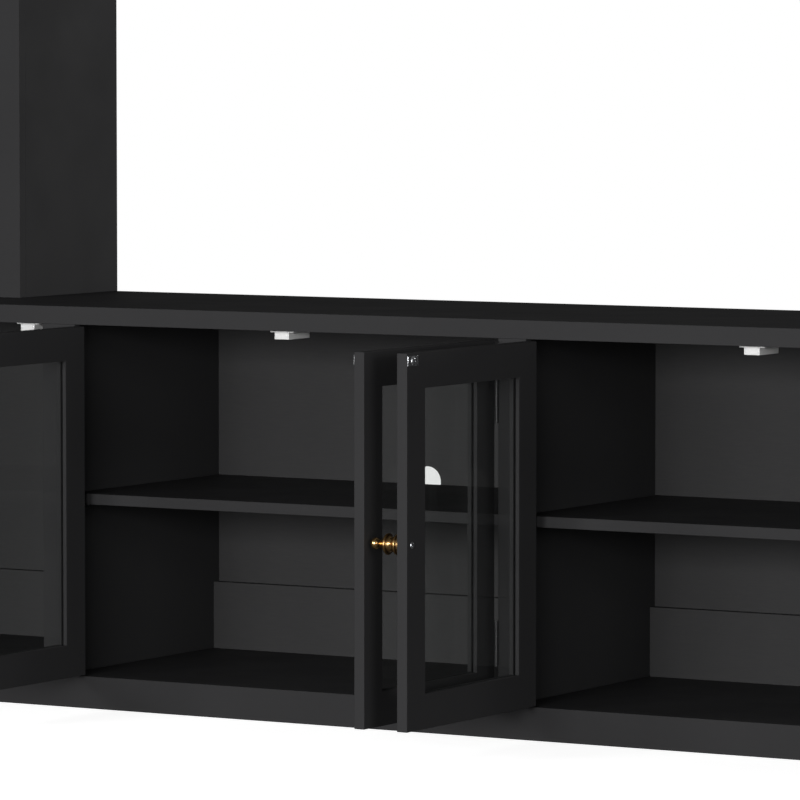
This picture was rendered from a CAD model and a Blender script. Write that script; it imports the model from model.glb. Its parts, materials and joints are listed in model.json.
import json
import math

import bmesh
import bpy
from mathutils import Matrix, Vector


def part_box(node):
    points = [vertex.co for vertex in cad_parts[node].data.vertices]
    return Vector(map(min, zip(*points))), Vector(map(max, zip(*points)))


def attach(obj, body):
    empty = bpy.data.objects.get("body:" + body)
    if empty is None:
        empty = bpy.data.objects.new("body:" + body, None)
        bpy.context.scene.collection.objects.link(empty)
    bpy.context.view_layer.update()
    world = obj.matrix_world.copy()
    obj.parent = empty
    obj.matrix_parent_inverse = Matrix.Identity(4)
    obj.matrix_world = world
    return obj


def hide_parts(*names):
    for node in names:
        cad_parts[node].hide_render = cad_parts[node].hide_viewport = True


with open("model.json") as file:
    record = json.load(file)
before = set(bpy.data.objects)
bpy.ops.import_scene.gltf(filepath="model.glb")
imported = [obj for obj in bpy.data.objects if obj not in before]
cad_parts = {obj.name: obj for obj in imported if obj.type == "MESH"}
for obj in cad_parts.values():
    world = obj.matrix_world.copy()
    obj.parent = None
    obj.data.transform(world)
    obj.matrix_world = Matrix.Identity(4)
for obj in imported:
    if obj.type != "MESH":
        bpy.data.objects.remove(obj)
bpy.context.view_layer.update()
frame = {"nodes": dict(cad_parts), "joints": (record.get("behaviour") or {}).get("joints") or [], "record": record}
scene = bpy.context.scene
up = Vector((0, 0, 1))

cameraLook = {"place": (3.8196, -6.6975, 0.9596), "turn": 30.77, "down": 3.753, "lens": 261.9,
              "farClip": 200}
lampLook = {
    # name: (place, looks at, width, height, watts)
    "key": ((1.0, -6.5, 1.15), (0, 0, 0.8), 4.4, 1.2, 465),
    "side": ((6.0, -2.9, 1.2), (0, 0, 0.6), 2.4, 1.6, 115),
    "left": ((-2.0, -3.4, 1.25), (-1.1, 0.2, 1.0), 1.0, 0.8, 40),
    "overhead": ((0, 0.4, 4.6), (0, 0.4, 0), 4.0, 2.5, 4),
    "rear": ((0.6, 6.4, 1.2), (0, 0, 0.7), 2.4, 1.2, 60),
}
roomLook = {"backdrop": 1.0, "ambient": 0.09, "floorSize": 14.0, "floorClear": 2.2, "floorFade": 8.4,
            "floorGlow": 0.76, "floorTone": (0.8, 0.8, 0.8, 1), "floorRoughness": 0.9, "floorSpecular": 0.1}


def aimed(thing, place, target):
    thing.location = place
    thing.rotation_euler = (Vector(target) - Vector(place)).to_track_quat("-Z", "Y").to_euler()
    scene.collection.objects.link(thing)
    return thing


def addCamera(look):
    data = bpy.data.cameras.new("viewCamera")
    data.lens = look["lens"]
    data.clip_end = look["farClip"]
    camera = bpy.data.objects.new("viewCamera", data)
    camera.location = look["place"]
    camera.rotation_euler = (math.radians(90 - look["down"]), 0, math.radians(look["turn"]))
    scene.collection.objects.link(camera)
    scene.camera = camera


def addLamps(look):
    for name, (place, target, width, height, watts) in look.items():
        data = bpy.data.lights.new(name + "Lamp", "AREA")
        data.shape = "RECTANGLE"
        data.size, data.size_y, data.energy = width, height, watts
        lamp = aimed(bpy.data.objects.new(name + "Lamp", data), place, target)
        lamp.visible_camera = False


def addRoom(look):
    # white where it is seen, and dim as a light
    world = bpy.data.worlds.new("paleRoom")
    scene.world = world
    world.use_nodes = True
    tree = world.node_tree
    seen = tree.nodes["Background"]
    seen.inputs["Color"].default_value = (1, 1, 1, 1)
    seen.inputs["Strength"].default_value = look["backdrop"]
    dim = addNode(tree, "ShaderNodeBackground")
    dim.inputs["Strength"].default_value = look["ambient"]
    path = addNode(tree, "ShaderNodeLightPath")
    mix = addNode(tree, "ShaderNodeMixShader")
    tree.links.new(path.outputs["Is Camera Ray"], mix.inputs[0])
    tree.links.new(dim.outputs[0], mix.inputs[1])
    tree.links.new(seen.outputs[0], mix.inputs[2])
    tree.links.new(mix.outputs[0], tree.nodes["World Output"].inputs["Surface"])

    bm = bmesh.new()
    bmesh.ops.create_circle(bm, cap_ends=True, segments=96, radius=look["floorSize"])
    mesh = bpy.data.meshes.new("floor")
    bm.to_mesh(mesh)
    bm.free()
    floor = bpy.data.objects.new("floor", mesh)
    scene.collection.objects.link(floor)
    floor.visible_diffuse = False
    floor.visible_glossy = False
    material, tree, shader = newMaterial("floorSweep")
    shader.inputs["Base Color"].default_value = look["floorTone"]
    shader.inputs["Roughness"].default_value = look["floorRoughness"]
    shader.inputs["Specular IOR Level"].default_value = look["floorSpecular"]
    shader.inputs["Emission Color"].default_value = (1, 1, 1, 1)
    shader.inputs["Emission Strength"].default_value = look["floorGlow"]
    far = addNode(tree, "ShaderNodeEmission")
    far.inputs["Strength"].default_value = look["backdrop"]
    place = addNode(tree, "ShaderNodeTexCoord")
    length = addNode(tree, "ShaderNodeVectorMath", operation="LENGTH")
    fade = addNode(tree, "ShaderNodeMapRange", interpolation_type="SMOOTHSTEP")
    fade.inputs["From Min"].default_value = look["floorClear"]
    fade.inputs["From Max"].default_value = look["floorFade"]
    mix = addNode(tree, "ShaderNodeMixShader")
    tree.links.new(place.outputs["Object"], length.inputs[0])
    tree.links.new(length.outputs["Value"], fade.inputs["Value"])
    tree.links.new(fade.outputs[0], mix.inputs[0])
    tree.links.new(shader.outputs[0], mix.inputs[1])
    tree.links.new(far.outputs[0], mix.inputs[2])
    tree.links.new(mix.outputs[0], tree.nodes["Material Output"].inputs["Surface"])
    floor.data.materials.append(material)


def addNode(tree, kind, **settings):
    node = tree.nodes.new(kind)
    for key, value in settings.items():
        setattr(node, key, value)
    return node


def newMaterial(name):
    material = bpy.data.materials.new(name)
    material.use_nodes = True
    return material, material.node_tree, material.node_tree.nodes["Principled BSDF"]


def noise(tree, scale, detail=2.0, stretch=None):
    coords = addNode(tree, "ShaderNodeTexCoord")
    texture = addNode(tree, "ShaderNodeTexNoise")
    texture.inputs["Scale"].default_value = scale
    texture.inputs["Detail"].default_value = detail
    if stretch:
        mapping = addNode(tree, "ShaderNodeMapping")
        mapping.inputs["Scale"].default_value = stretch
        tree.links.new(coords.outputs["Object"], mapping.inputs["Vector"])
        tree.links.new(mapping.outputs[0], texture.inputs["Vector"])
    else:
        tree.links.new(coords.outputs["Object"], texture.inputs["Vector"])
    return texture.outputs[0]


def toRange(tree, value, low, high, fromLow=0.3, fromHigh=0.7):
    remap = addNode(tree, "ShaderNodeMapRange")
    for name, number in (("From Min", fromLow), ("From Max", fromHigh), ("To Min", low), ("To Max", high)):
        remap.inputs[name].default_value = number
    tree.links.new(value, remap.inputs["Value"])
    return remap.outputs[0]


def mixColour(tree, factor, first, second):
    mix = addNode(tree, "ShaderNodeMix", data_type="RGBA")
    tree.links.new(factor, mix.inputs[0])
    for socket, colour in ((mix.inputs[6], first), (mix.inputs[7], second)):
        if isinstance(colour, tuple):
            socket.default_value = (*colour, 1)
        else:
            tree.links.new(colour, socket)
    return mix.outputs[2]


def addBump(tree, shader, height, strength, distance):
    bump = addNode(tree, "ShaderNodeBump")
    bump.inputs["Strength"].default_value = strength
    bump.inputs["Distance"].default_value = distance
    tree.links.new(height, bump.inputs["Height"])
    tree.links.new(bump.outputs[0], shader.inputs["Normal"])


paintLook = {"dark": (0.0236, 0.0234, 0.0243), "light": (0.0270, 0.0268, 0.0277), "roughness": (0.52, 0.62),
             "specular": 0.06, "driftScale": 2.6, "napScale": 160, "napShare": 0.35, "sheenScale": 9,
             "peelScale": 420, "peelStrength": 0.35, "peelDepth": 0.00012}


def satinPaint(name, look):
    # sprayed satin paint: slow drifts of tone, roller nap and a fine orange peel
    material, tree, shader = newMaterial(name)
    shader.inputs["Specular IOR Level"].default_value = look["specular"]
    drift = toRange(tree, noise(tree, look["driftScale"], 4), 0, 1)
    tone = mixColour(tree, drift, look["dark"], look["light"])
    fine = toRange(tree, noise(tree, look["napScale"], 3), 0, look["napShare"])
    tone = mixColour(tree, fine, tone, look["light"])
    tree.links.new(tone, shader.inputs["Base Color"])
    sheen = toRange(tree, noise(tree, look["sheenScale"], 5), *look["roughness"])
    tree.links.new(sheen, shader.inputs["Roughness"])
    addBump(tree, shader, noise(tree, look["peelScale"], 2), look["peelStrength"], look["peelDepth"])
    return material


backLook = {"dark": (0.0320, 0.0318, 0.0325), "light": (0.0362, 0.0360, 0.0367), "roughness": (0.58, 0.68),
            "specular": 0.06, "fibreScale": 3.0, "fibre": (18, 260, 260), "fibreStrength": 0.25,
            "fibreDepth": 0.0001}


def backBoard(name, look):
    # painted fibreboard, where short fibres lying along the sheet still show
    material, tree, shader = newMaterial(name)
    shader.inputs["Specular IOR Level"].default_value = look["specular"]
    fibres = noise(tree, look["fibreScale"], 6, look["fibre"])
    tone = mixColour(tree, toRange(tree, fibres, 0, 1), look["dark"], look["light"])
    tree.links.new(tone, shader.inputs["Base Color"])
    tree.links.new(toRange(tree, fibres, *look["roughness"]), shader.inputs["Roughness"])
    addBump(tree, shader, fibres, look["fibreStrength"], look["fibreDepth"])
    return material


glassLook = {"tint": (0.980, 0.986, 0.982), "mirror": (0.018, 0.8), "mirrorPower": 5, "smudge": (0.0, 0.05),
             "smudgeScale": 14, "drawScale": 5, "drawStretch": (1, 1, 0.25), "drawStrength": 0.1,
             "drawDepth": 0.00004, "arris": 0.0003}


def paneGlass(name, look):
    # clear float glass: mostly what is behind it, with a thin reflection, faint smudges and draw lines
    material, tree, shader = newMaterial(name)
    shader.inputs["Base Color"].default_value = (1, 1, 1, 1)
    shader.inputs["Metallic"].default_value = 1
    smudges = toRange(tree, noise(tree, look["smudgeScale"], 4), *look["smudge"])
    tree.links.new(smudges, shader.inputs["Roughness"])
    drawLines = noise(tree, look["drawScale"], 1, look["drawStretch"])
    addBump(tree, shader, drawLines, look["drawStrength"], look["drawDepth"])
    clear = addNode(tree, "ShaderNodeBsdfTransparent")
    clear.inputs["Color"].default_value = (*look["tint"], 1)
    slant = addNode(tree, "ShaderNodeLayerWeight")
    steep = addNode(tree, "ShaderNodeMath", operation="POWER")
    tree.links.new(slant.outputs["Facing"], steep.inputs[0])
    steep.inputs[1].default_value = look["mirrorPower"]
    mix = addNode(tree, "ShaderNodeMixShader")
    tree.links.new(toRange(tree, steep.outputs[0], *look["mirror"], 0, 1), mix.inputs[0])
    tree.links.new(clear.outputs[0], mix.inputs[1])
    tree.links.new(shader.outputs[0], mix.inputs[2])
    tree.links.new(mix.outputs[0], tree.nodes["Material Output"].inputs["Surface"])
    return material


brassLook = {"bright": (0.90, 0.60, 0.26), "worn": (0.58, 0.27, 0.07), "patina": (0.030, 0.012, 0.004),
             "polished": 0.20, "tarnished": 0.38, "blotScale": 480, "blotRange": (-0.14, 0.16),
             "wearScale": 210, "wearShare": 0.55, "grainScale": 700, "grainStrength": 0.12,
             "grainDepth": 0.00008}


def antiqueBrass(name, look):
    # patina stays in the hollows, and the high places are rubbed bright
    material, tree, shader = newMaterial(name)
    shader.inputs["Metallic"].default_value = 1
    depth = addNode(tree, "ShaderNodeAttribute", attribute_name="patina").outputs["Fac"]
    blot = addNode(tree, "ShaderNodeMath", operation="ADD", use_clamp=True)
    tree.links.new(depth, blot.inputs[0])
    blots = toRange(tree, noise(tree, look["blotScale"], 4), *look["blotRange"])
    tree.links.new(blots, blot.inputs[1])
    wear = toRange(tree, noise(tree, look["wearScale"], 3), 0, look["wearShare"])
    metal = mixColour(tree, wear, look["bright"], look["worn"])
    tree.links.new(mixColour(tree, blot.outputs[0], metal, look["patina"]), shader.inputs["Base Color"])
    rough = toRange(tree, blot.outputs[0], look["polished"], look["tarnished"], 0, 1)
    tree.links.new(rough, shader.inputs["Roughness"])
    addBump(tree, shader, noise(tree, look["grainScale"], 3), look["grainStrength"], look["grainDepth"])
    return material


grainLook = {"sheenScale": 350, "grainStrength": 0.15, "grainDepth": 0.00005}
zincLook = {"dark": (0.50, 0.51, 0.53), "light": (0.66, 0.67, 0.69), "roughness": (0.24, 0.40),
            "metallic": 1, "grainScale": 900, **grainLook}
blackSteelLook = {"dark": (0.016, 0.016, 0.017), "light": (0.026, 0.026, 0.028), "roughness": (0.36, 0.50),
                  "metallic": 0, "grainScale": 900, **grainLook}
plasticLook = {"dark": (0.56, 0.56, 0.555), "light": (0.62, 0.62, 0.615), "roughness": (0.34, 0.44),
               "metallic": 0, "grainScale": 300, **grainLook}


def grainedFinish(name, look):
    # fine crystals of plating, or the fine texture of a moulding
    material, tree, shader = newMaterial(name)
    shader.inputs["Metallic"].default_value = look["metallic"]
    grains = noise(tree, look["grainScale"], 4)
    tone = mixColour(tree, toRange(tree, grains, 0, 1), look["dark"], look["light"])
    tree.links.new(tone, shader.inputs["Base Color"])
    sheen = toRange(tree, noise(tree, look["sheenScale"], 3), *look["roughness"])
    tree.links.new(sheen, shader.inputs["Roughness"])
    addBump(tree, shader, grains, look["grainStrength"], look["grainDepth"])
    return material


beechLook = {"dark": (0.50, 0.31, 0.16), "light": (0.68, 0.47, 0.28), "pore": (0.30, 0.17, 0.08),
             "roughness": (0.5, 0.65), "grainScale": 60, "grainStretch": (1, 1, 0.08), "poreScale": 1400,
             "poreStretch": (1, 1, 0.12), "poreRange": (0.62, 0.72), "grainStrength": 0.3,
             "grainDepth": 0.0001}


def beechWood(name, look):
    # straight grain along the dowel, with short dark pores
    material, tree, shader = newMaterial(name)
    grain = noise(tree, look["grainScale"], 5, look["grainStretch"])
    tone = mixColour(tree, toRange(tree, grain, 0, 1), look["dark"], look["light"])
    pores = toRange(tree, noise(tree, look["poreScale"], 2, look["poreStretch"]), 0, 1, *look["poreRange"])
    tree.links.new(mixColour(tree, pores, tone, look["pore"]), shader.inputs["Base Color"])
    tree.links.new(toRange(tree, grain, *look["roughness"]), shader.inputs["Roughness"])
    addBump(tree, shader, grain, look["grainStrength"], look["grainDepth"])
    return material


addCamera(cameraLook)
addLamps(lampLook)
addRoom(roomLook)
scene.view_settings.view_transform = "Standard"

paint = satinPaint("satinBlackPaint", paintLook)
panelPaint = backBoard("blackBackBoard", backLook)
glass = paneGlass("clearPane", glassLook)
brass = antiqueBrass("antiqueBrass", brassLook)
zinc = grainedFinish("zincPlate", zincLook)
blackSteel = grainedFinish("blackSteel", blackSteelLook)
whitePlastic = grainedFinish("whitePlastic", plasticLook)
beech = beechWood("beech", beechLook)
print("camera, lamps, room and materials made")


meshLook = {"weld": 0.00001, "touch": 0.0001, "shortest": 0.006, "arrisSteps": 2, "flatAngle": 0.5,
            "sharpAngle": 60, "roundAngle": 20, "leastBend": 0.01}


def mergedCopy(node):
    # a CAD node's loose triangles as one clean mesh with whole faces
    bm = bmesh.new()
    bm.from_mesh(frame["nodes"][node].data)
    bmesh.ops.remove_doubles(bm, verts=bm.verts, dist=meshLook["weld"])
    flat = math.radians(meshLook["flatAngle"])
    bmesh.ops.dissolve_limit(bm, angle_limit=flat, verts=bm.verts, edges=bm.edges)
    return bm


def islands(bm):
    # the separate solids of a mesh, each as its lowest and highest corner
    boxes, todo = [], set(bm.verts)
    while todo:
        reach, found = [todo.pop()], []
        while reach:
            vert = reach.pop()
            found.append(vert.co)
            for edge in vert.link_edges:
                other = edge.other_vert(vert)
                if other in todo:
                    todo.discard(other)
                    reach.append(other)
        low = Vector([min(co[i] for co in found) for i in range(3)])
        high = Vector([max(co[i] for co in found) for i in range(3)])
        boxes.append((low, high))
    return sorted(boxes, key=lambda box: tuple(round(c, 4) for c in box[0]))


def nodeIslands(node):
    bm = mergedCopy(node)
    boxes = islands(bm)
    bm.free()
    return boxes


def softenEdges(bm, width, shortest=meshLook["shortest"]):
    # breaks the long sharp outside edges, and leaves bores and grooves crisp
    sharpest, roundest = math.radians(meshLook["sharpAngle"]), math.radians(meshLook["roundAngle"])
    bm.normal_update()
    sharp = [edge for edge in bm.edges if len(edge.link_faces) == 2 and edge.is_convex
             and edge.calc_length() > shortest and edge.calc_face_angle() > sharpest]
    for face in bm.faces:
        bends = [edge.calc_face_angle(0) for edge in face.edges if len(edge.link_faces) == 2]
        face.smooth = any(meshLook["leastBend"] < bend < roundest for bend in bends)
    made = bmesh.ops.bevel(bm, geom=sharp, offset=width, offset_type="OFFSET", profile=0.5,
                           segments=meshLook["arrisSteps"], affect="EDGES", clamp_overlap=True)
    for face in made["faces"]:
        face.smooth = True


def addPiece(name, bm, material, body, replaced=()):
    mesh = bpy.data.meshes.new(name)
    bm.to_mesh(mesh)
    bm.free()
    return addMeshPiece(name, mesh, material, body, replaced)


def addMeshPiece(name, mesh, material, body, replaced=()):
    piece = bpy.data.objects.new(name, mesh)
    scene.collection.objects.link(piece)
    if not mesh.materials:
        mesh.materials.append(material)
    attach(piece, body)
    if replaced:
        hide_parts(*replaced)
    return piece


def bodyOf(node):
    return next(body for body, nodes in frame["record"]["behaviour"]["bodies"].items() if node in nodes)


def addBox(bm, low, high, width, segments):
    # a board between two corners, with its edges broken
    made = bmesh.ops.create_cube(bm, size=1)["verts"]
    low, high = Vector(low), Vector(high)
    size = Matrix.Diagonal((*(high - low), 1))
    bmesh.ops.transform(bm, matrix=Matrix.Translation((low + high) / 2) @ size, verts=made)
    edges = {edge for vert in made for edge in vert.link_edges}
    bevelled = bmesh.ops.bevel(bm, geom=list(edges), offset=width, offset_type="OFFSET",
                               segments=segments, profile=0.5, affect="EDGES", clamp_overlap=True)
    for face in bevelled["faces"]:
        face.smooth = True


def arc(x, y, radius, start, end, steps):
    # points on a round stretch of an outline, in degrees
    turns = [math.radians(start + (end - start) * i / steps) for i in range(steps + 1)]
    return [(x + radius * math.cos(a), y + radius * math.sin(a)) for a in turns]


def turned(bm, outline, foot, axis, steps, layer, depths):
    # spins an outline of (radius, distance) about an axis that starts at foot
    side = axis.orthogonal().normalized()
    other = axis.cross(side)
    rings = []
    for i, (radius, along) in enumerate(outline):
        centre = foot + axis * along
        ring = [bm.verts.new(centre)] if radius < 1e-7 else [
            bm.verts.new(centre + radius * (side * math.cos(a) + other * math.sin(a)))
            for a in (2 * math.pi * k / steps for k in range(steps))]
        for vert in ring:
            vert[layer] = depths[i]
        rings.append(ring)
    faces = []
    for near, far in zip(rings, rings[1:]):
        for k in range(steps):
            after = (k + 1) % steps
            if len(near) == 1:
                corners = (near[0], far[after], far[k])
            elif len(far) == 1:
                corners = (near[k], near[after], far[0])
            else:
                corners = (near[k], near[after], far[after], far[k])
            faces.append(bm.faces.new(corners))
    for face in faces:
        face.smooth = True
    bmesh.ops.recalc_face_normals(bm, faces=faces)


boardLook = {"arris": 0.0005, "backArris": 0.0003, "backBoards": ("back_panels", "back_rails")}


def addBoards(look):
    for sub in frame["record"]["subparts"]:
        node = sub["node"]
        if sub["material_slot"] != "black_paint":
            continue
        isBack = node in look["backBoards"]
        bm = mergedCopy(node)
        softenEdges(bm, look["backArris"] if isBack else look["arris"])
        coat = panelPaint if isBack else paint
        addPiece(node + "_painted", bm, coat, bodyOf(node), [node])


addBoards(boardLook)
print("painted boards and door frames softened")


class Door:
    # a door's own directions: along its width from the hinge, inwards, and up
    def __init__(self, joint):
        self.name = joint["child"]
        low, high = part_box(self.name + "_frame")
        self.low, self.high = low, high
        pin = Vector(joint["pos_m"])
        self.pin = Vector((pin.x, pin.y, low.z))
        middle = (low + high) / 2 - pin
        flat = high.x - low.x > high.y - low.y
        wide, deep = (0, 1) if flat else (1, 0)
        self.along = Vector([math.copysign(1, middle[i]) if i == wide else 0 for i in range(3)])
        self.inward = Vector([math.copysign(1, middle[i]) if i == deep else 0 for i in range(3)])
        self.width = high[wide] - low[wide]
        self.thickness = high[deep] - low[deep]
        self.height = high.z - low.z
        self.stand = abs(pin[deep] - (low[deep] if middle[deep] > 0 else high[deep]))
        self.start = min(abs(pin[wide] - low[wide]), abs(pin[wide] - high[wide]))
        # the way a closed door runs: an open one's width turned back into the face
        self.closedAlong = self.along if flat else self.inward
        self.hasKnob = self.name + "_knob" in frame["nodes"]

    def at(self, x, y, z):
        return self.pin + self.along * x + self.inward * y + up * z


doors = [Door(joint) for joint in frame["joints"]]


def addPanes(look):
    for door in doors:
        node = door.name + "_glass"
        bm = mergedCopy(node)
        softenEdges(bm, look["arris"])
        addPiece(node + "_pane", bm, glass, door.name, [node])


addPanes(glassLook)

knobLook = {"rosette": 0.014, "length": 0.047, "steps": 64}


def knobOutline(look):
    # (radius, distance from the door) from the rosette to the tip, with how deep in patina each point lies
    outline, depths = [], []
    drawnRosette, drawnLength = 14, 47
    wide, long = look["rosette"] / drawnRosette, look["length"] / drawnLength

    def stretch(points, start, end):
        for i, point in enumerate(points):
            outline.append((point[0] * wide, point[1] * long))
            depths.append(start + (end - start) * i / max(1, len(points) - 1))

    # rosette of two beads, and its flare down to the waist
    stretch([(0, 0), (13.2, 0)], 1, 0.8)
    stretch(arc(12.3, 1.6, 1.6, -70, 70, 8), 0.75, 0.85)
    stretch([(12.3, 3.5), (12.3, 4.0)], 1, 1)
    stretch(arc(12.3, 5.7, 1.7, -80, 62, 9), 0.7, 0.5)
    stretch([(12.4, 7.7), (11.6, 8.3), (10.9, 9.2), (10.3, 10.3), (9.9, 11.6), (9.6, 13.0)], 0.4, 0.1)
    # waist, ring and the taper to the neck
    stretch([(9.6, 14.4), (9.9, 15.8), (10.5, 17.0), (11.3, 17.9), (11.5, 18.5)], 0.35, 0.95)
    stretch(arc(12.3, 20.4, 1.7, -75, 75, 10), 0.7, 0.5)
    stretch([(11.4, 22.3), (11.2, 22.9)], 0.95, 0.7)
    stretch([(10.6, 23.5), (9.7, 24.6), (8.7, 26.0), (7.6, 27.6)], 0.15, 0.0)
    stretch([(6.5, 29.2), (5.5, 30.6), (4.8, 31.8), (4.5, 32.8)], 0.2, 0.9)
    stretch([(4.6, 33.7), (5.0, 34.2)], 0.95, 0.8)
    # a flattened ball with a button on its end
    for x, y in arc(0, 0, 1, -48, 64, 18):
        stretch([(7.8 * x, 39.4 + 6.6 * y)], 0.3 if y < 0 else 0.1, 0)
    stretch([(3.3, 45.2), (3.0, 45.6)], 0.9, 0.6)
    stretch([(2.5, 46.3), (1.7, 46.75), (0.8, 46.96), (0, 47)], 0.1, 0.0)
    return outline, depths


def addKnobs(look):
    outline, depths = knobOutline(look)
    for door in doors:
        if not door.hasKnob:
            continue
        low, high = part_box(door.name + "_knob")
        middle = (low + high) / 2
        foot = middle - door.inward * door.inward.dot(middle - door.at(0, door.stand, 0))
        bm = bmesh.new()
        layer = bm.verts.layers.float.new("patina")
        turned(bm, outline, foot, -door.inward, look["steps"], layer, depths)
        addPiece(door.name + "_knob_turned", bm, brass, door.name, [door.name + "_knob"])


addKnobs(knobLook)
print("panes and turned knobs made")


hingeLook = {"arris": 0.00012, "shortest": 0.004, "reach": 0.004}
strikeLook = {"arris": 0.00035, "thick": 0.001, "screw": 0.0052, "screwLift": 0.0004}


def addHinges(look):
    for door in doors:
        node = door.name + "_fittings"
        bm = mergedCopy(node)
        low, high = min(islands(bm), key=lambda box: box[1].z - box[0].z)
        near = meshLook["touch"]
        inside = [vert for vert in bm.verts
                  if all(low[i] - near < vert.co[i] < high[i] + near for i in range(3))]
        bmesh.ops.delete(bm, geom=inside, context="VERTS")
        softenEdges(bm, hingeLook["arris"], hingeLook["shortest"])
        addPiece(door.name + "_hinge_leaves", bm, blackSteel, door.name, [node])
        # the plate is the thin part against the door, and its screw head stands on it
        head = door.inward * (abs(door.inward.dot(high - low)) - look["thick"])
        low, high = (low - head, high) if min(head) < 0 else (low, high - head)
        bm = bmesh.new()
        addBox(bm, low, high, look["arris"], 3)
        addPiece(door.name + "_strike", bm, zinc, door.name, [node])
        door.strike = (low + high) / 2 + door.inward * look["screwLift"]
    bm = mergedCopy("frame_hinges")
    softenEdges(bm, hingeLook["arris"], hingeLook["shortest"])
    addPiece("frame_hinges_softened", bm, blackSteel, "cabinet", ["frame_hinges"])


addHinges(strikeLook)


catchLook = {"housing": 0.023, "arris": 0.0009, "earArris": 0.00072, "earHeight": 0.003, "earLength": 0.020,
             "earStep": 0.0003, "pocket": 0.0022, "pole": 0.0008, "poleReach": 0.0001, "poleLength": 0.012,
             "poleArris": 0.0002, "screw": 0.0029}


def addCatches(look):
    shells, poles, screwPlaces = bmesh.new(), bmesh.new(), []
    for low, high in nodeIslands("door_catches"):
        middle = (low + high) / 2
        left, right = middle.x - look["housing"] / 2, middle.x + look["housing"] / 2
        addBox(shells, (left, low.y, low.z), (right, high.y, high.z), look["arris"], 3)
        under = high.z - look["earHeight"]
        addBox(shells, (low.x, low.y + look["earStep"], under),
               (high.x, low.y + look["earLength"], high.z), look["earArris"], 2)
        for side in (-1, 1):
            screwX = middle.x + side * (look["housing"] / 2 + high.x - middle.x) / 2
            screwPlaces.append(Vector((screwX, low.y + look["earLength"] / 2, under)))
            edge = middle.x + side * (look["housing"] / 2 - look["pocket"])
            addBox(poles, (edge - look["pole"] / 2, low.y - look["poleReach"], low.z + look["pocket"]),
                   (edge + look["pole"] / 2, low.y + look["poleLength"], high.z - look["pocket"]),
                   look["poleArris"], 1)
    addPiece("door_catches_moulded", shells, whitePlastic, "cabinet", ["door_catches"])
    addPiece("catch_poles", poles, zinc, "cabinet", ["door_catches"])
    return screwPlaces


catchScrews = addCatches(catchLook)
print("hinges, strikes and catches made")


def newTree(name, inputs):
    tree = bpy.data.node_groups.new(name, "GeometryNodeTree")
    tree.interface.new_socket("Geometry", in_out="INPUT", socket_type="NodeSocketGeometry")
    for label, kind in inputs:
        tree.interface.new_socket(label, in_out="INPUT", socket_type=kind)
    tree.interface.new_socket("Geometry", in_out="OUTPUT", socket_type="NodeSocketGeometry")
    return tree, tree.nodes.new("NodeGroupInput"), tree.nodes.new("NodeGroupOutput")


def chain(tree, node, **inputs):
    # links or sets a node's inputs by name
    for label, value in inputs.items():
        socket = node.inputs[label.replace("_", " ")]
        if isinstance(value, bpy.types.NodeSocket):
            tree.links.new(value, socket)
        else:
            socket.default_value = value
    return node


headShape = {"sides": 24, "rings": 12, "foot": 0.45, "depth": 0.6, "lift": -0.595, "bar": 1.15}


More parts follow.
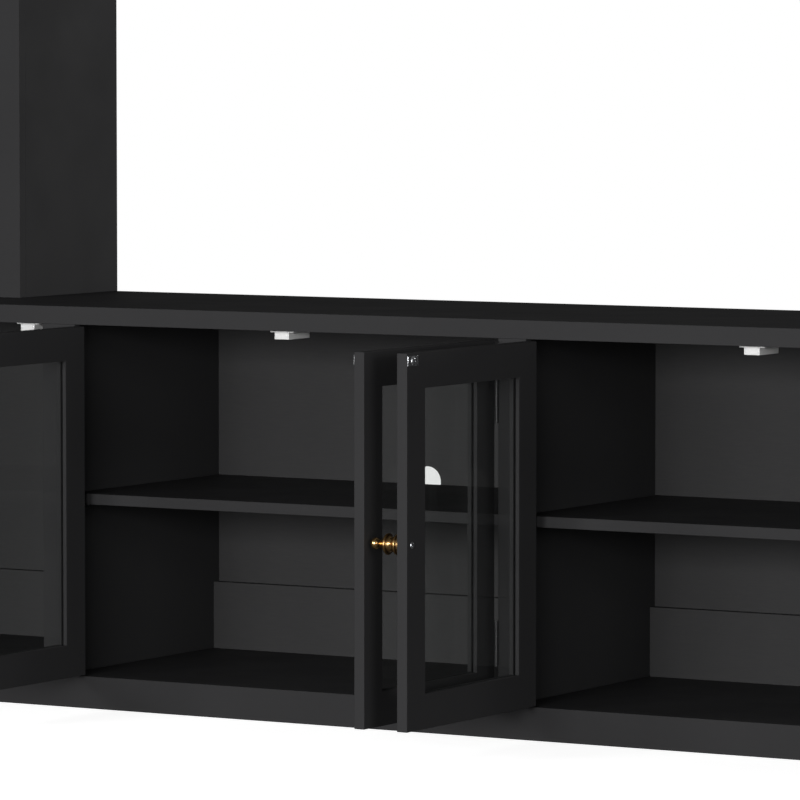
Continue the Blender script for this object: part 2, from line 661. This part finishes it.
def screwHeads(shape):
    # each point carries its size, the way it faces and whether its head is domed
    tree, given, result = newTree("screwHeads", [
        ("Dome Height", "NodeSocketFloat"), ("Recess Width", "NodeSocketFloat"),
        ("Recess Depth", "NodeSocketFloat"), ("Seed", "NodeSocketInt"), ("Finish", "NodeSocketMaterial")])
    stretch = addNode(tree, "ShaderNodeCombineXYZ")
    chain(tree, stretch, X=1.0, Y=1.0, Z=given.outputs["Dome Height"])
    ball = chain(tree, addNode(tree, "GeometryNodeMeshUVSphere"), Segments=shape["sides"],
                 Rings=shape["rings"], Radius=1.0)
    dome = chain(tree, addNode(tree, "GeometryNodeTransform"), Geometry=ball.outputs["Mesh"],
                 Scale=stretch.outputs[0])
    cone = chain(tree, addNode(tree, "GeometryNodeMeshCone"), Vertices=shape["sides"],
                 Radius_Top=1.0, Radius_Bottom=shape["foot"], Depth=shape["depth"])
    sunk = chain(tree, addNode(tree, "GeometryNodeTransform"), Geometry=cone.outputs["Mesh"],
                 Translation=(0, 0, shape["lift"]))
    bars = []
    for wide, thin in ((shape["bar"], None), (None, shape["bar"])):
        size = addNode(tree, "ShaderNodeCombineXYZ")
        for axis, value in (("X", wide), ("Y", thin)):
            chain(tree, size, **{axis: value if value else given.outputs["Recess Width"]})
        chain(tree, size, Z=given.outputs["Recess Depth"])
        bars.append(chain(tree, addNode(tree, "GeometryNodeMeshCube"), Size=size.outputs[0]).outputs["Mesh"])
    cutHeads = []
    for head, lift in ((dome.outputs[0], given.outputs["Dome Height"]), (sunk.outputs[0], 0.0)):
        place = chain(tree, addNode(tree, "ShaderNodeCombineXYZ"), Z=lift)
        cut = addNode(tree, "GeometryNodeMeshBoolean", operation="DIFFERENCE")
        tree.links.new(head, cut.inputs["Mesh 1"])
        for bar in bars:
            moved = chain(tree, addNode(tree, "GeometryNodeTransform"), Geometry=bar,
                          Translation=place.outputs[0])
            tree.links.new(moved.outputs[0], cut.inputs["Mesh 2"])
        cutHeads.append(cut.outputs["Mesh"])
    joined = addNode(tree, "GeometryNodeJoinGeometry")
    domed = chain(tree, addNode(tree, "GeometryNodeInputNamedAttribute", data_type="BOOLEAN"), Name="domed")
    flat = addNode(tree, "FunctionNodeBooleanMath", operation="NOT")
    tree.links.new(domed.outputs["Attribute"], flat.inputs[0])
    aim = chain(tree, addNode(tree, "GeometryNodeInputNamedAttribute", data_type="FLOAT_VECTOR"), Name="aim")
    size = chain(tree, addNode(tree, "GeometryNodeInputNamedAttribute", data_type="FLOAT"), Name="size")
    turn = addNode(tree, "FunctionNodeRandomValue", data_type="FLOAT")
    tree.links.new(given.outputs["Seed"], turn.inputs["Seed"])
    turn.inputs[3].default_value = math.pi / 2
    spin = addNode(tree, "FunctionNodeAxisAngleToRotation")
    tree.links.new(turn.outputs[1], spin.inputs["Angle"])
    face = addNode(tree, "FunctionNodeAlignRotationToVector", axis="Z")
    tree.links.new(spin.outputs[0], face.inputs["Rotation"])
    tree.links.new(aim.outputs["Attribute"], face.inputs["Vector"])
    for cutHead, chosen in zip(cutHeads, (domed.outputs["Attribute"], flat.outputs[0])):
        placed = addNode(tree, "GeometryNodeInstanceOnPoints")
        tree.links.new(given.outputs["Geometry"], placed.inputs["Points"])
        tree.links.new(chosen, placed.inputs["Selection"])
        tree.links.new(cutHead, placed.inputs["Instance"])
        tree.links.new(face.outputs[0], placed.inputs["Rotation"])
        tree.links.new(size.outputs["Attribute"], placed.inputs["Scale"])
        tree.links.new(placed.outputs[0], joined.inputs[0])
    finishTree(tree, joined.outputs[0], given, result)
    return tree


def finishTree(tree, geometry, given, result):
    # every tree ends the same way: real geometry with its material
    real = chain(tree, addNode(tree, "GeometryNodeRealizeInstances"), Geometry=geometry)
    coat = chain(tree, addNode(tree, "GeometryNodeSetMaterial"), Geometry=real.outputs[0],
                 Material=given.outputs["Finish"])
    tree.links.new(coat.outputs[0], result.inputs[0])


def grown(tree, mesh, values):
    # runs a tree on a mesh and gives the plain mesh that it makes
    maker = bpy.data.objects.new("maker", mesh)
    scene.collection.objects.link(maker)
    modifier = maker.modifiers.new("grow", "NODES")
    modifier.node_group = tree
    for item in tree.interface.items_tree:
        if item.in_out == "INPUT" and item.name in values:
            modifier[item.identifier] = values[item.name]
    graph = bpy.context.evaluated_depsgraph_get()
    made = bpy.data.meshes.new_from_object(maker.evaluated_get(graph), depsgraph=graph)
    bpy.data.objects.remove(maker)
    return made


def pointMesh(points):
    # points as (place, aim, size, domed)
    mesh = bpy.data.meshes.new("points")
    mesh.from_pydata([tuple(p[0]) for p in points], [], [])
    aims = [number for point in points for number in point[1]]
    mesh.attributes.new("aim", "FLOAT_VECTOR", "POINT").data.foreach_set("vector", aims)
    mesh.attributes.new("size", "FLOAT", "POINT").data.foreach_set("value", [p[2] for p in points])
    mesh.attributes.new("domed", "BOOLEAN", "POINT").data.foreach_set("value", [p[3] for p in points])
    return mesh


screwLook = {"Dome Height": 0.42, "Recess Width": 0.24, "Recess Depth": 0.5, "Seed": 7}
screwSizes = {"knob": 0.0045, "leaf": 0.0021, "leafSpacing": 0.019, "leafDepth": 0.0088,
              "leafThick": 0.0009}


def hingeHeights(door):
    # middles of the hinges on this door, from the frame halves that stand on its line
    return [(low.z + high.z) / 2 for low, high in frameHinges
            if abs((low.x + high.x) / 2 - door.pin.x) < hingeLook["reach"]
            and door.low.z < low.z < door.high.z]


frameHinges = nodeIslands("frame_hinges")


def addScrews(look, sizes):
    tree = screwHeads(headShape)
    blackOnFrame = []
    for door in doors:
        bright = [(door.strike, door.inward, strikeLook["screw"], True)]
        if door.hasKnob:
            low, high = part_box(door.name + "_knob")
            middle = (low + high) / 2
            back = door.at(0, door.stand + door.thickness, 0)
            foot = middle + door.inward * door.inward.dot(back - middle)
            bright.append((foot, door.inward, sizes["knob"], True))
        mesh = grown(tree, pointMesh(bright), {**look, "Finish": zinc})
        addMeshPiece(door.name + "_bright_screws", mesh, zinc, door.name)
        black = []
        for height in hingeHeights(door):
            for step in (-1, 0, 1):
                z = height - door.low.z + step * sizes["leafSpacing"]
                inLeaf = door.start - sizes["leafThick"]
                black.append((door.at(inLeaf, sizes["leafDepth"], z), -door.along, sizes["leaf"], False))
                onFrame = door.pin - door.closedAlong * inLeaf + Vector((0, sizes["leafDepth"], z))
                blackOnFrame.append((onFrame, door.closedAlong, sizes["leaf"], False))
        mesh = grown(tree, pointMesh(black), {**look, "Finish": blackSteel})
        addMeshPiece(door.name + "_leaf_screws", mesh, blackSteel, door.name)
    mesh = grown(tree, pointMesh(blackOnFrame), {**look, "Finish": blackSteel})
    addMeshPiece("frame_leaf_screws", mesh, blackSteel, "cabinet")
    held = [(place, -up, catchLook["screw"], True) for place in catchScrews]
    mesh = grown(tree, pointMesh(held), {**look, "Finish": zinc})
    addMeshPiece("catch_screws", mesh, zinc, "cabinet")


addScrews(screwLook, screwSizes)
print("screws placed")


pinLook = {"sides": 20, "rings": 10, "nose": 0.45}


def shelfPinTree(look):
    # a steel pin with a round nose at each end and a turned groove
    tree, given, result = newTree("shelfPins", [
        ("Radius", "NodeSocketFloat"), ("Length", "NodeSocketFloat"), ("Finish", "NodeSocketMaterial")])
    shank = chain(tree, addNode(tree, "GeometryNodeMeshCylinder"), Vertices=look["sides"],
                  Radius=given.outputs["Radius"], Depth=given.outputs["Length"])
    ball = chain(tree, addNode(tree, "GeometryNodeMeshUVSphere"), Segments=look["sides"],
                 Rings=look["rings"], Radius=given.outputs["Radius"])
    half = chain(tree, addNode(tree, "ShaderNodeMath", operation="MULTIPLY"))
    tree.links.new(given.outputs["Length"], half.inputs[0])
    half.inputs[1].default_value = 0.5
    joined = addNode(tree, "GeometryNodeMeshBoolean", operation="UNION")
    tree.links.new(shank.outputs["Mesh"], joined.inputs["Mesh 2"])
    for sign in (-1, 1):
        lift = addNode(tree, "ShaderNodeMath", operation="MULTIPLY")
        tree.links.new(half.outputs[0], lift.inputs[0])
        lift.inputs[1].default_value = sign
        place = chain(tree, addNode(tree, "ShaderNodeCombineXYZ"), Z=lift.outputs[0])
        nose = chain(tree, addNode(tree, "GeometryNodeTransform"), Geometry=ball.outputs["Mesh"],
                     Translation=place.outputs[0], Scale=(1, 1, look["nose"]))
        tree.links.new(nose.outputs[0], joined.inputs["Mesh 2"])
    placed = chain(tree, addNode(tree, "GeometryNodeInstanceOnPoints"), Points=given.outputs["Geometry"],
                   Instance=joined.outputs["Mesh"], Rotation=(0, math.pi / 2, 0))
    finishTree(tree, placed.outputs[0], given, result)
    return tree


def addShelfPins(look):
    boxes = nodeIslands("shelf_pins")
    points = [((low + high) / 2, up, 1, True) for low, high in boxes]
    low, high = boxes[0]
    radius = (high.z - low.z) / 2
    noseLength = radius * look["nose"]
    mesh = grown(shelfPinTree(look), pointMesh(points), {
        "Radius": radius, "Length": high.x - low.x - 2 * noseLength, "Finish": zinc})
    addMeshPiece("shelf_pins_turned", mesh, zinc, "cabinet", ["shelf_pins"])


addShelfPins(pinLook)

nailLook = {"Spacing": 0.11, "Head": 0.0022, "Inset": 0.008, "sides": 14, "rings": 8, "flatness": 0.35}


def nailTree(look):
    # nail heads at an even spacing along the lines given
    tree, given, result = newTree("panelNails", [
        ("Spacing", "NodeSocketFloat"), ("Head", "NodeSocketFloat"), ("Finish", "NodeSocketMaterial")])
    lines = chain(tree, addNode(tree, "GeometryNodeMeshToCurve"), Mesh=given.outputs["Geometry"])
    spaced = addNode(tree, "GeometryNodeResampleCurve", mode="LENGTH")
    chain(tree, spaced, Curve=lines.outputs[0], Length=given.outputs["Spacing"])
    ball = chain(tree, addNode(tree, "GeometryNodeMeshUVSphere"), Segments=look["sides"],
                 Rings=look["rings"], Radius=given.outputs["Head"])
    head = chain(tree, addNode(tree, "GeometryNodeTransform"), Geometry=ball.outputs["Mesh"],
                 Scale=(1, look["flatness"], 1))
    placed = chain(tree, addNode(tree, "GeometryNodeInstanceOnPoints"), Points=spaced.outputs[0],
                   Instance=head.outputs[0])
    finishTree(tree, placed.outputs[0], given, result)
    return tree


def addPanelNails(look):
    corners, edges = [], []
    for low, high in nodeIslands("back_panels"):
        inset = look["Inset"]
        first = len(corners)
        corners += [(x, high.y, z) for x, z in (
            (low.x + inset, low.z + inset), (high.x - inset, low.z + inset),
            (high.x - inset, high.z - inset), (low.x + inset, high.z - inset))]
        edges += [(first + i, first + (i + 1) % 4) for i in range(4)]
    mesh = bpy.data.meshes.new("nailLines")
    mesh.from_pydata(corners, edges, [])
    made = grown(nailTree(look), mesh, {**look, "Finish": zinc})
    addMeshPiece("back_panel_nails", made, zinc, "cabinet")


addPanelNails(nailLook)
print("shelf pins and panel nails placed")

dowels = frame["nodes"]["dowels"]
dowels.data.materials.clear()
dowels.data.materials.append(beech)

print("size checked")
